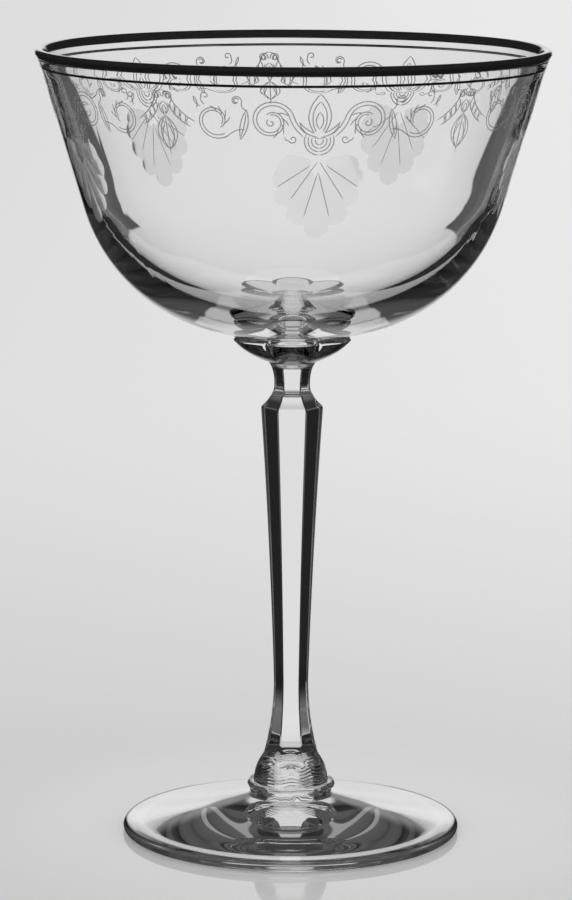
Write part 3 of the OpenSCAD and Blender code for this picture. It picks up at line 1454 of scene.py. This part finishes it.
@dataclass
class Bands:
    """Wide platinum band over the lip and the thin line below it, in millimetres."""

    shape: BowlShape
    out: float = 0.55
    inside: float = 1.2
    gap: float = 1.75
    line_w: float = 0.5
    thick: float = 0.03
    sunk: float = 0.02
    tilt: float = 0.2
    columns: int = 480
    edge_waves: Waves = ((5, 1.0, 0.025), (11, 0.0, 0.02))
    inner_columns: int = 90
    out_rows: int = 6
    lip_steps: int = 18
    in_rows: int = 8
    line_top: tuple[float, ...] = (1.0, 0.85, 0.5, 0.15, 0.0)
    line_back: tuple[float, ...] = (0.0, 0.5, 1.0)

    def rim_face(self, off: float) -> list[tuple[Any, Any]]:
        """One face of the wide band's metal, from its outer edge over the lip to its inner edge.

        Args:
            off: Height off the glass.

        Returns:
            Radius and height of each ring.
        """
        outer, inner = FacePath(self.shape.outer(), 1), FacePath(self.shape.inner(), -1)
        wobble = uneven(round_angles(self.columns), self.edge_waves)
        low, deep = self.out + wobble, self.inside + np.roll(wobble, self.inner_columns)
        rows = [outer.at(low * share, off) for share in np.linspace(1, 0, self.out_rows)]
        rows += [tuple(point) for point in self.shape.lip(off, self.lip_steps)[1:-1]]
        return rows + [inner.at(deep * share, off) for share in np.linspace(0, 1, self.in_rows)]

    def rim(self, metal: bpy.types.Material) -> bpy.types.Object:
        """Make the wide band.

        Args:
            metal: Its material.

        Returns:
            The piece.
        """
        angles = round_angles(self.columns)
        mesh = RingMesh(self.columns)
        for radius, height in self.rim_face(self.thick) + self.rim_face(-self.sunk)[::-1]:
            mesh.polar(angles, radius, height)
        return dress(mesh.build("platinum_rim_band", [metal], loop=True), "platinum", "rim_band")

    def line(self, metal: bpy.types.Material) -> bpy.types.Object:
        """Make the thin line.

        Args:
            metal: Its material.

        Returns:
            The piece.
        """
        angles = round_angles(self.columns)
        outer = FacePath(self.shape.outer(), 1)
        top = self.out + self.gap - self.tilt * np.sin(angles) - self.tilt
        mesh = RingMesh(self.columns)
        for off, shares in ((self.thick, self.line_top), (-self.sunk, self.line_back)):
            for share in shares:
                mesh.polar(angles, *outer.at(top + self.line_w * share, off))
        return dress(mesh.build("platinum_hairline", [metal], loop=True), "platinum", "hairline_band")


class Ray:
    """Direction of a ray that leaves the scene, and what it has met on its way."""

    ahead: Pair = (0.0, 0.1)
    level: Pair = (-0.02, 0.02)

    def __init__(self, graph: Graph) -> None:
        """Read the ray.

        Args:
            graph: Node tree of the world.
        """
        way = graph.node("ShaderNodeTexCoord", {}, {}, "Generated")
        self.x, self.y, self.z = (graph.node("ShaderNodeSeparateXYZ", {}, {0: way}, axis) for axis in "XYZ")
        met = ("Is Transmission Ray", "Is Glossy Ray", "Diffuse Depth", "Transmission Depth", "Glossy Depth")
        self.refracted, self.glossy, self.scattered, self.crossings, self.turns = (
            graph.node("ShaderNodeLightPath", {}, {}, name) for name in met)
        self.wide = abs(self.x) / abs(self.y)
        self.slant = self.x + self.y
        self.onward = self.y.step(*self.ahead)
        self.up = self.z.step(*self.level)


@dataclass(frozen=True)
class Sky:
    """Soft light all round, with a bright field and dark cards that only glass and metal show.

    A pair holds the values between which a zone fades in, and a band holds two pairs, to fade in and out.
    Heights are the upward part of a direction, widths its sideways part over its forward part, and turns
    the number of reflections inside the glass.
    """

    level: float = 1.0
    bright: float = 0.88
    solid_bright: float = 0.80
    dark: float = 0.012
    side: float = 0.11
    overhead: float = 0.7
    streak: float = 0.36
    fall: float = 0.25
    fall_z: Pair = (-0.38, -0.60)
    leftward: Pair = (0.0, -0.1)
    rightward: Pair = (0.0, 0.1)
    slope_z: Pair = (-0.66, -0.60)
    aside_width: Pair = (0.24, 0.20)
    aside_z: Pair = (0.25, 0.20)
    slant_width: Pair = (0.25, 0.22)
    back_z: Pair = (-0.06, -0.10)
    front_z: Pair = (-0.62, -0.56)
    below_z: Pair = (-0.78, -0.86)
    field_z: Pair = (0.42, 0.30)
    edge_slope: float = 1.5
    edge_start: float = 0.37
    edge_least: float = 0.155
    edge_more: float = 0.1
    edge_z: Pair = (-0.12, 0.0)
    edge_soft: Pair = (0.006, -0.006)
    wall_z: Pair = (-0.29, -0.32)
    card: float = 0.1
    card_width: Pair = (0.40, 0.22)
    card_top: float = 0.06
    card_top_width: Pair = (1.0, 0.5)
    card_top_z: Pair = (-0.06, 0.0)
    few_turns: Pair = (3.8, 3.2)
    many_turns: Pair = (5.7, 6.3)
    most_turns: Pair = (8.8, 9.4)
    core: float = 0.10
    core_up: float = 0.08
    core_low: float = 0.28
    core_low_z: Pair = (-0.36, -0.46)
    core_low_width: Pair = (0.18, 0.10)
    near_z: Pair = (0.28, 0.20)
    many_level: Pair = (0.03, 0.58)
    most_level: Pair = (0.11, 0.3)
    strip: float = 0.5
    strip_width: Pair = (0.10, 0.08)
    strip_z: Pair = (0.42, 0.38)
    strip_turns: Pair = (6.9, 6.3)
    lower: float = 0.45
    lower_turned: float = 0.3
    lower_turns: Pair = (0.5, 1.5)
    lower_z: Pair = (-0.40, -0.66)
    facet_width: Band = ((0.70, 0.76), (1.15, 1.08))
    facet_z: Pair = (-0.25, -0.36)
    facet_end_z: Pair = (-0.56, -0.46)
    facet_glow: float = 0.12
    facet_rest: float = 0.02
    side_most: float = 0.09
    side_few: float = 0.08
    side_few_z: Pair = (-0.10, -0.16)
    side_top: float = 0.06
    side_top_z: Pair = (0.2, 0.45)
    streak_z: Band = ((0.17, 0.21), (0.335, 0.31))
    streak_width: Pair = (0.40, 0.46)
    streak_turns: Band = ((3.4, 3.8), (8.9, 8.3))
    centre_width: Pair = (0.32, 0.29)
    far_z: Pair = (-0.22, -0.26)
    far_slant: Band = ((0.11, 0.022), (-0.32, -0.25))
    no_turns: Pair = (0.6, 0.4)
    one_or_two_turns: Band = ((0.4, 0.6), (2.6, 2.4))
    overhead_z: Pair = (0.56, 0.64)
    overhead_width: Pair = (1.0, 0.8)
    both_walls: Pair = (2.4, 2.6)
    shine_width: Pair = (0.30, 0.15)
    shine_z: Pair = (0.42, 0.34)
    any_scatter: Pair = (0.4, 0.6)

    def from_front_right(self, ray: Ray) -> Sock:
        """Zone behind the glass for someone who looks down at it from the front right."""
        return ray.x.step(*self.leftward) * ray.z.step(*self.front_z)

    def views(self, ray: Ray) -> Sock:
        """Zones behind the glass for someone who looks from its right, its back left or above.

        Args:
            ray: The ray.

        Returns:
            The zones, between 0 and 1.
        """
        slope = ray.z.step(*self.slope_z)
        right = (abs(ray.y) / abs(ray.x)).step(*self.aside_width) * ray.x.step(*self.leftward)
        right = right * slope * ray.z.step(*self.aside_z)
        back_left = abs(ray.slant).step(*self.slant_width) * ray.x.step(*self.rightward)
        back_left = back_left * slope * ray.z.step(*self.back_z)
        return right.larger(back_left).larger(ray.z.step(*self.below_z))

    def field_level(self, ray: Ray) -> Sock:
        """Level of the bright field, which falls lower down."""
        return self.bright - ray.z.step(*self.fall_z) * self.fall

    def through_bowl(self, ray: Ray, views: Sock) -> Sock:
        """Level for a ray that has gone through both walls of the bowl.

        Args:
            ray: The ray.
            views: Zones for the other sides.

        Returns:
            The level.
        """
        edge = (ray.z * -self.edge_slope - self.edge_start).larger(self.edge_least)
        edge = edge + ray.z.step(*self.edge_z) * self.edge_more
        field = (ray.wide - edge).step(*self.edge_soft) * ray.onward * ray.z.step(*self.field_z)
        wall = self.from_front_right(ray) * ray.z.step(*self.wall_z) * abs(ray.slant).step(*self.slant_width)
        card_top = ray.z.step(*self.card_top_z) * ray.wide.step(*self.card_top_width) * self.card_top
        beside = self.dark + ray.wide.step(*self.card_width) * self.card + card_top
        return beside.larger(field.larger(views).larger(wall) * self.field_level(ray))

    def ahead(self, ray: Ray) -> Sock:
        """Level straight ahead for a ray from solid glass, by its turns inside the glass.

        Args:
            ray: The ray.

        Returns:
            The level.
        """
        near = ray.up * ray.z.step(*self.near_z)
        low = ray.z.step(*self.core_low_z) * ray.wide.step(*self.core_low_width)
        level = self.core - ray.up * self.core_up + low * self.core_low
        for (base, more), turns in ((self.many_level, self.many_turns), (self.most_level, self.most_turns)):
            level = level.towards(base + near * more, ray.turns.step(*turns))
        strip = ray.wide.step(*self.strip_width) * ray.up * ray.z.step(*self.strip_z)
        level = level.towards(self.strip, strip * ray.turns.step(*self.strip_turns))
        by_turns = self.lower - ray.turns.step(*self.lower_turns) * self.lower_turned
        lower = ray.z.step(*self.lower_z) * by_turns
        return level.towards(self.solid_bright - lower, ray.turns.step(*self.few_turns))

    def beside(self, ray: Ray) -> Sock:
        """Level of the cards for a ray from solid glass, with the facets' glow and the foot's streaks.

        Args:
            ray: The ray.

        Returns:
            The level.
        """
        few, most = ray.turns.step(*self.few_turns), ray.turns.step(*self.most_turns)
        level = self.side - ray.up * most * self.side_most
        level = level - few * ray.z.step(*self.side_few_z) * self.side_few
        level = level - ray.z.step(*self.side_top_z) * self.side_top
        low = ray.z.step(*self.facet_z)
        glow = low * ray.z.step(*self.facet_end_z) * self.facet_glow + low * self.facet_rest + self.dark
        level = level.towards(glow, ray.wide.within(*self.facet_width) * few)
        streak = ray.z.within(*self.streak_z) * ray.wide.step(*self.streak_width) * ray.onward
        return level.towards(self.streak, streak * ray.turns.within(*self.streak_turns))

    def through_solid(self, ray: Ray, views: Sock) -> Sock:
        """Level for a ray that has gone through solid glass or one wall.

        Args:
            ray: The ray.
            views: Zones for the other sides.

        Returns:
            The level.
        """
        centre = ray.wide.step(*self.centre_width) * ray.onward * ray.z.step(*self.field_z)
        far_wall = self.from_front_right(ray) * ray.z.step(*self.far_z) * ray.slant.within(*self.far_slant)
        patches = views.larger(far_wall) * ray.turns.step(*self.no_turns)
        above = ray.z.step(*self.overhead_z) * ray.wide.step(*self.overhead_width) * ray.onward
        overhead = ray.turns.within(*self.one_or_two_turns) * above
        level = self.beside(ray).towards(self.ahead(ray), centre)
        return level.larger(patches * self.field_level(ray)).larger(overhead * self.overhead)

    def shine(self, ray: Ray) -> Sock:
        """Level that metal and polished faces reflect."""
        field = ray.wide.step(*self.shine_width) * ray.onward * ray.z.step(*self.shine_z)
        return self.dark + field * (self.solid_bright - self.dark)

    def build(self) -> None:
        """Light the scene."""
        world = bpy.data.worlds.new("studio")
        bpy.context.scene.world = world
        world.use_nodes = True
        graph = Graph(world.node_tree)
        ray = Ray(graph)
        views = self.views(ray)
        both = ray.crossings.step(*self.both_walls)
        seen = self.through_solid(ray, views).towards(self.through_bowl(ray, views), both)
        level = self.level + ray.glossy * (self.shine(ray) - self.level)
        level = level.towards(seen, ray.refracted)
        level = level.towards(self.level, ray.scattered.step(*self.any_scatter))
        shader = graph.node("ShaderNodeBackground", {}, {"Color": grey(1.0), "Strength": level})
        graph.node("ShaderNodeOutputWorld", {}, {"Surface": shader})


@dataclass(frozen=True)
class Table:
    """Pale table top, polished near the glass and matte beyond, with painted shade that darkens it towards
    the front and on the left, in metres.
    """

    half: float = 9.0
    drop: float = 0.00004
    # near_tone to far_tone is painted shade that darkens the table towards the front; left_painted_shade
    # darkens its left side
    near_tone: float = 0.64
    far_tone: float = 0.826
    left_painted_shade: float = 0.88
    sideways: Pair = (-0.2, 0.2)
    away: Pair = (-0.25, 0.55)
    polish: Pair = (0.08, 0.036)
    grain_scale: float = 220.0
    grain_detail: float = 4.0
    speck: Pair = (0.45, 0.75)
    speck_share: float = 0.05
    speck_tone: float = 0.6
    rough: float = 0.03
    rough_grain: float = 0.02
    specular: float = 0.5

    def material(self) -> bpy.types.Material:
        """Make the material.

        Returns:
            The material.
        """
        finish = Finish("white_table")
        graph, place = finish.graph, finish.place()
        along, away = (graph.node("ShaderNodeSeparateXYZ", {}, {0: place}, axis) for axis in "XY")
        grain = finish.noise(self.grain_scale, self.grain_detail)
        # painted shade: the tone is darker on the left and towards the front
        near, far = (
            graph.mixed(along.step(*self.sideways), grey(tone * self.left_painted_shade), grey(tone))
            for tone in (self.near_tone, self.far_tone))
        tone = graph.mixed(away.step(*self.away), near, far)
        tone = graph.mixed(grain.step(*self.speck) * self.speck_share, tone, grey(self.speck_tone))
        matte = finish.principled({"Base Color": tone, "Roughness": 1.0, "Specular IOR Level": 0.0})
        polished = finish.principled({
            "Base Color": tone, "Roughness": self.rough + grain * self.rough_grain,
            "Specular IOR Level": self.specular})
        spread = graph.node("ShaderNodeVectorMath", {"operation": "LENGTH"}, {0: place}, "Value")
        return finish.surfaced(graph.node(
            "ShaderNodeMixShader", {}, {0: spread.step(*self.polish), 1: matte, 2: polished}))

    def build(self) -> None:
        """Make the table, which glass and metal don't show."""
        mesh = bpy.data.meshes.new("table")
        corners = ((-1, -1), (1, -1), (1, 1), (-1, 1))
        mesh.from_pydata([(x * self.half, y * self.half, -self.drop) for x, y in corners], [], [(0, 1, 2, 3)])
        mesh.materials.append(self.material())
        made = bpy.data.objects.new("table", mesh)
        bpy.context.scene.collection.objects.link(made)
        made.visible_transmission = False
        made.visible_glossy = False


@dataclass(frozen=True)
class Camera:
    """Camera at the photograph's view, in metres, degrees and the photograph's pixels."""

    back: float = 0.7661
    up: float = 0.20837
    focal_px: float = 4051.6
    frame_px: float = 900.0
    aim_px: float = 6.0
    pitch: float = 9.893
    roll: float = 0.2
    sensor: float = 36.0
    clip: Pair = (0.05, 40.0)

    def build(self) -> None:
        """Place the camera."""
        data = bpy.data.cameras.new("camera")
        data.sensor_width = self.sensor
        data.lens = self.focal_px * self.sensor / self.frame_px
        data.clip_start, data.clip_end = self.clip
        made = bpy.data.objects.new("camera", data)
        bpy.context.scene.collection.objects.link(made)
        turn = Matrix.Rotation(math.atan(self.aim_px / self.focal_px), 4, "Z")
        turn = turn @ Matrix.Rotation(math.radians(90 - self.pitch), 4, "X")
        turn = turn @ Matrix.Rotation(math.radians(self.roll), 4, "Z")
        made.matrix_world = Matrix.Translation((0, -self.back, self.up)) @ turn
        bpy.context.scene.camera = made


@dataclass(frozen=True)
class Studio:
    """Camera, table and sky, with the bounces of light that clear glass needs."""

    all_bounces: int = 32
    glass_bounces: int = 28
    gloss_bounces: int = 24
    alpha_bounces: int = 24

    def build(self) -> None:
        """Set up the studio and the way that colours are shown."""
        Camera().build()
        Table().build()
        Sky().build()
        scene = bpy.context.scene
        scene.view_settings.view_transform = "Standard"
        scene.cycles.max_bounces = self.all_bounces
        scene.cycles.transmission_bounces = self.glass_bounces
        scene.cycles.glossy_bounces = self.gloss_bounces
        scene.cycles.transparent_max_bounces = self.alpha_bounces
        LOG.info("studio: table, sky and camera")


def main() -> None:
    """Build the pieces in order."""
    logging.basicConfig(level=logging.INFO, format="%(message)s")
    glass = [finish.material() for finish in (ClearGlass(), FusedGlass(), GroundGlass())]
    platinum = Platinum().material()
    etched = EtchAndShadeLine("etched_line", tone=0.3, cover=0.56).material()
    # dark, half-covering lines that paint the shade seen along the sharp ridges between the shell petals
    ridge = EtchAndShadeLine("ridge_painted_shade", tone=0.12, cover=0.5).material()
    low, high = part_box("bowl")
    foot_low, foot_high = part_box("foot")
    foot_h = foot_high.z / MM
    shape = BowlShape(low_z=low.z / MM, rim_z=high.z / MM)
    shells = ShellCut()
    tongues = Tongues()
    Studio().build()
    Bowl(shape, shells, tongues).build(glass)
    ScrollBorder(shape, shells).build(etched)
    ShellRidgeShade(shape, shells).build(ridge)
    stem = Stem(shape, SixSides(), tongues, foot_h)
    stem.build(glass)
    Foot(stem, (foot_high.x - foot_low.x) / MM, foot_h).build(glass)
    bands = Bands(shape)
    bands.rim(platinum)
    bands.line(platinum)


if __name__ == "__main__":
    main()
